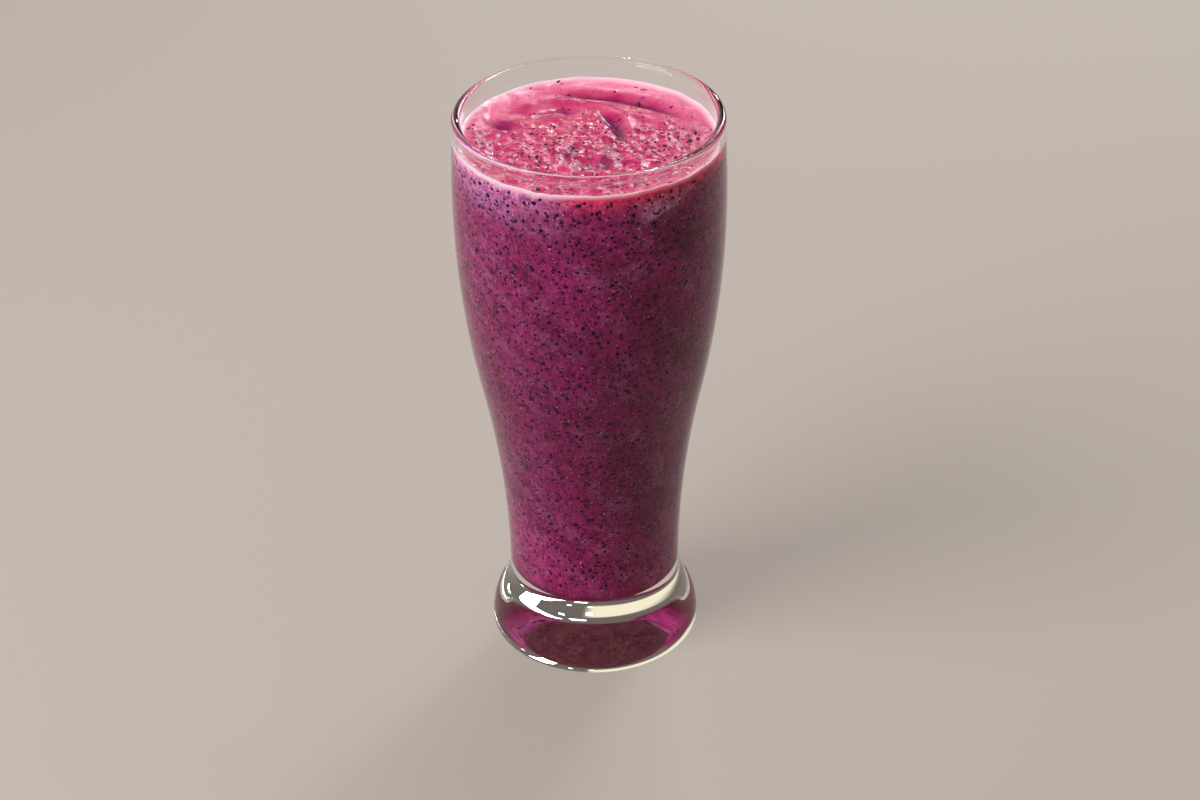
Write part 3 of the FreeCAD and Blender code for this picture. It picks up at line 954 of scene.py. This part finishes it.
def top_material():
    """The drink in the open air, wet and finely bumpy."""
    material, tree, out = new_material("lassi_top")
    amount = own(tree, "mottled")
    bumps = put(tree, "ShaderNodeBump", {
        "Strength": times(tree, amount, 0.5), "Distance": 0.3 * MM,
        "Height": grain(tree, 0.9, 2.0, 0.5, shift=1.0)})
    surface(tree, out, "ShaderNodeBsdfPrincipled", {
        "Base Color": lassi_colour(tree, dark_share=0.75, light_share=0.55),
        "Roughness": between(tree, grain(tree, 3.0), 0.35, 0.7, 0.08, 0.21),
        "IOR": 1.38, "Normal": bumps.outputs[0], "Subsurface Weight": 0.3,
        "Subsurface Scale": 1.5 * MM, "Subsurface Radius": (1.0, 0.2, 0.35)})
    return material


lassi.data.materials.append(side_material())
lassi.data.materials.append(top_material())
# The faces between the rings of the top come first, and those around its middle after all rings.
slots = np.zeros(len(lassi.data.polygons), np.int32)
slots[:(TOP_RINGS - 1) * SEGMENTS] = 1
first_fan = (len(rings) - 1) * SEGMENTS
slots[first_fan:first_fan + SEGMENTS] = 1
lassi.data.polygons.foreach_set("material_index", slots)
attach(lassi, "root")
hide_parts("lassi")
print("faces in the open air", int(slots.sum()), "of", len(slots))

# %% [markdown]
# ## Bits of berry skin
# Blending leaves thousands of bits of dark skin, round to long, no two alike. The larger ones are
# about three quarters of a millimetre wide, and the specks between them less than half a
# millimetre. A particle system would scatter copies of one bit. Here every bit is its own shape
# and all of one kind are one mesh. A bit is a flat pebble of a few dozen faces: an uneven outline
# of a few corners, a smaller one above and one below it, and a point at the top and bottom.

# %% Flat pebbles as one mesh


def unit(arrows):
    """The same directions with a length of 1."""
    return arrows / np.linalg.norm(arrows, axis=1, keepdims=True)


def facing(normals, rng):
    """Two directions across each normal, turned at random about it."""
    helper = np.where(np.abs(normals[:, 2:]) < 0.9, [[0.0, 0.0, 1.0]], [[1.0, 0.0, 0.0]])
    first = unit(np.cross(helper, normals))
    second = np.cross(normals, first)
    turn = rng.uniform(0, 2 * np.pi, (len(normals), 1))
    c, s = np.cos(turn), np.sin(turn)
    return c * first + s * second, c * second - s * first


def pebble_faces(corners):
    """The triangles of one pebble: point 0 is its tip, then come three outlines, then its tail."""
    j = np.arange(corners)
    k = (j + 1) % corners
    a, b, c = 1, 1 + corners, 1 + 2 * corners
    tip, tail = np.zeros(corners, int), np.full(corners, 1 + 3 * corners)
    return np.concatenate([
        np.stack([tip, a + j, a + k], -1),
        np.stack([a + j, b + j, b + k], -1), np.stack([a + j, b + k, a + k], -1),
        np.stack([b + j, c + j, c + k], -1), np.stack([b + j, c + k, b + k], -1),
        np.stack([c + j, tail, c + k], -1)])


def pebbles(name, places, normals, radii, thickness, stretch, uneven, rng, corners=7):
    """One mesh of flat pebbles, and a random shade for each kept as the attribute shade.

    Around a place the outline is radius * (1 + uneven * random) at each corner, stretched in one
    direction. The layers above and below have a share of it, the shoulder, and lie at another
    share, the rise, of half the thickness.
    """
    shoulder, rise = 0.62, 0.7
    count = len(places)
    across, along = facing(normals, rng)
    turns = ring_turns(corners)
    reach = radii[:, None] * (1 + uneven * rng.uniform(-1, 1, (count, corners)))
    longer = np.sqrt(stretch)[:, None]
    u, v = reach * np.cos(turns) * longer, reach * np.sin(turns) / longer
    rim = u[..., None] * along[:, None] + v[..., None] * across[:, None]
    lift = (thickness[:, None] / 2 * normals)[:, None]
    layers = [lift, shoulder * rim + rise * lift, rim, shoulder * rim - rise * lift, -lift]
    points = places[:, None] + np.concatenate(layers, axis=1)
    each = points.shape[1]
    first_points = each * np.arange(count)[:, None, None]
    faces = (pebble_faces(corners) + first_points).reshape(-1, 3)
    piece = add_piece(name, points.reshape(-1, 3) * MM, faces.tolist())
    shades = piece.data.attributes.new("shade", "FLOAT", "POINT")
    shades.data.foreach_set("value", np.repeat(rng.uniform(0, 1, count), each).astype(np.float32))
    print(name, count, "with", len(faces), "faces")
    return piece


def sizes(rng, count, middle, spread, least, most):
    """Random radii in millimetres, half of them below middle, held between least and most."""
    return np.clip(rng.lognormal(math.log(middle), spread, count), least, most)


# %% [markdown]
# ## Bits against the glass
# They lie flat against the wall, all the way down. A thick drink keeps its bits apart, so purely
# random places would clump too much. They are laid out evenly first and then let stray a little.
# Half of each stands out of the drink into the glass, so that it is seen.

# %% Places on the wall


def wall_places(count, rng, top_gap, clump, stray):
    """Places on the wall and their outward normals, laid out like the seeds of a sunflower.

    Seed i is turned i golden angles, and stands where i / count of the wall's area lies below it.
    Each strays by a random number of about stray millimetres. About four in five are kept, and
    fewer where noise, weighed by clump, is low. The lowest lie 5 mm above the floor, and the
    highest top_gap below a height just over the level.
    """
    lowest, highest = floor_z + 5, lassi_z + 0.4 - top_gap
    heights = np.linspace(lowest, highest, 400)
    area = np.cumsum(wall_r(heights))
    z = np.interp(rng.permutation(np.linspace(area[0], area[-1], count)), area, heights)
    order = np.argsort(np.argsort(z))
    turn = order * np.pi * (3 - math.sqrt(5)) + rng.normal(0, stray, count) / wall_r(z)
    z = np.clip(z + rng.normal(0, stray, count), lowest, highest)
    x, y = wall_r(z) * np.cos(turn), wall_r(z) * np.sin(turn)
    crowd = 0.8 + clump * (ripple(x + 0.7 * z, y + 0.4 * z, 7, 41) + ripple(x - z, y, 3, 42))
    keep = np.flatnonzero(rng.uniform(0, 1, count) < crowd)
    slope = wall_r(z[keep] + 0.5) - wall_r(z[keep] - 0.5)
    normals = unit(np.stack([np.cos(turn[keep]), np.sin(turn[keep]), -slope], -1))
    places = np.stack([x[keep], y[keep], z[keep]], -1) + INTO_WALL * normals
    return places, normals


# %% Bits and specks of skin on the side
rng = np.random.default_rng(5)
places, normals = wall_places(5300, rng, top_gap=1.2, clump=0.35, stray=0.7)
count = len(places)
radii = sizes(rng, count, middle=0.38, spread=0.24, least=0.22, most=0.62)
side_bits = pebbles("skin_bits_side", places, normals, radii, thickness=0.26 * radii + 0.05,
                    stretch=rng.uniform(1, 1.5, count), uneven=0.22, rng=rng)

places, normals = wall_places(6400, rng, top_gap=0.9, clump=0.5, stray=1.0)
count = len(places)
radii = sizes(rng, count, middle=0.21, spread=0.25, least=0.11, most=0.36)
side_specks = pebbles("skin_specks_side", places, normals, radii, thickness=0.30 * radii + 0.04,
                      stretch=rng.uniform(1, 1.7, count), uneven=0.25, rng=rng, corners=5)

# %% [markdown]
# ## Bits on the top
# These stick up out of the lumps at all angles, vary more in size and glisten. Most lie in the
# rough front half, and a few on the smooth pool and on the bank along the back.

# %% Bits of skin on the top


def top_places(count, rng, inside):
    """Random places on the top and the surface's normals there, more of them where it is rough.

    They stay at least inside millimetres from the wall. Four times as many as wanted are drawn,
    because the smooth parts keep few of them.
    """
    tries = count * 4
    r = (level_r - inside) * np.sqrt(rng.uniform(0, 1, tries))
    turn = rng.uniform(0, 2 * np.pi, tries)
    x, y = r * np.cos(turn), r * np.sin(turn)
    fewest = 0.16
    wanted = fewest + (1 - fewest) * roughness_here(x, y) ** 1.5
    keep = np.flatnonzero(rng.uniform(0, 1, len(x)) < wanted)[:count]
    x, y = x[keep], y[keep]
    z, small = top_z(x, y), 0.15
    falls = [z - top_z(x + small, y), z - top_z(x, y + small), np.full(len(x), small)]
    return np.stack([x, y, z], -1), unit(np.stack(falls, -1))


places, normals = top_places(680, rng, inside=0.8)
count = len(places)
leaning = unit(normals + rng.normal(0, 0.28, normals.shape))
radii = sizes(rng, count, middle=0.29, spread=0.38, least=0.13, most=0.66)
top_bits = pebbles("skin_bits_top", places + 0.03 * normals, leaning, radii,
                   thickness=0.45 * radii, stretch=rng.uniform(1, 2.6, count), uneven=0.32, rng=rng)

# %% [markdown]
# ## Air bubbles
# Blending also beats in air, and pinprick bubbles sit against the glass. They are round pebbles as
# thick as they are wide, paler than the drink and sunk a little into it.

# %% Bubbles
places, normals = wall_places(3600, rng, top_gap=0.5, clump=0.8, stray=1.5)
count = len(places)
radii = sizes(rng, count, middle=0.13, spread=0.30, least=0.07, most=0.24)
bubbles = pebbles("air_bubbles", places - 0.3 * radii[:, None] * normals, normals, radii,
                  thickness=2 * radii, stretch=np.ones(count), uneven=0.0, rng=rng, corners=5)

# %% [markdown]
# ## Materials of the bits and bubbles
# Berry skin is almost black, some bits wine red and some navy. The attribute shade tells the bits
# apart, and a little noise keeps each from being one flat colour.

# %% Skin and bubble materials


def skin_material(name, roughness, level):
    """Almost black skin, some of it navy and some wine red, with paler spots."""
    material, tree, out = new_material(name)
    shade = own(tree, "shade")
    dark = mix(tree, between(tree, shade, 0.25, 0.75), colour(0.034, 0.001, 0.022),
               colour(0.012, 0.002, 0.026))
    worn = mix(tree, between(tree, shade, 0.78, 0.95), dark, colour(0.100, 0.005, 0.038))
    spotted = mix(tree, between(tree, grain(tree, 0.25, 2.0), 0.5, 0.8), worn,
                  colour(0.060, 0.006, 0.040))
    surface(tree, out, "ShaderNodeBsdfPrincipled", {
        "Base Color": spotted, "Roughness": roughness, "Specular IOR Level": level})
    return material


def bubble_material():
    """The thin skin of a bubble, from lilac pink to almost white."""
    material, tree, out = new_material("bubble_pink")
    shade = own(tree, "shade")
    pale = mix(tree, shade, colour(0.70, 0.16, 0.40), colour(1.0, 0.65, 0.82))
    soft = mix(tree, between(tree, grain(tree, 0.2), 0.45, 0.7), pale, colour(0.80, 0.28, 0.50))
    surface(tree, out, "ShaderNodeBsdfPrincipled", {
        "Base Color": soft, "Roughness": 0.6, "Specular IOR Level": 0.1})
    return material


dull_skin = skin_material("skin_behind_glass", roughness=0.8, level=0.03)
side_bits.data.materials.append(dull_skin)
side_specks.data.materials.append(dull_skin)
top_bits.data.materials.append(skin_material("skin_wet", roughness=0.25, level=0.3))
bubbles.data.materials.append(bubble_material())
for piece in (side_bits, side_specks, top_bits, bubbles):
    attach(piece, "root")
print("materials", sorted(material.name for material in bpy.data.materials))
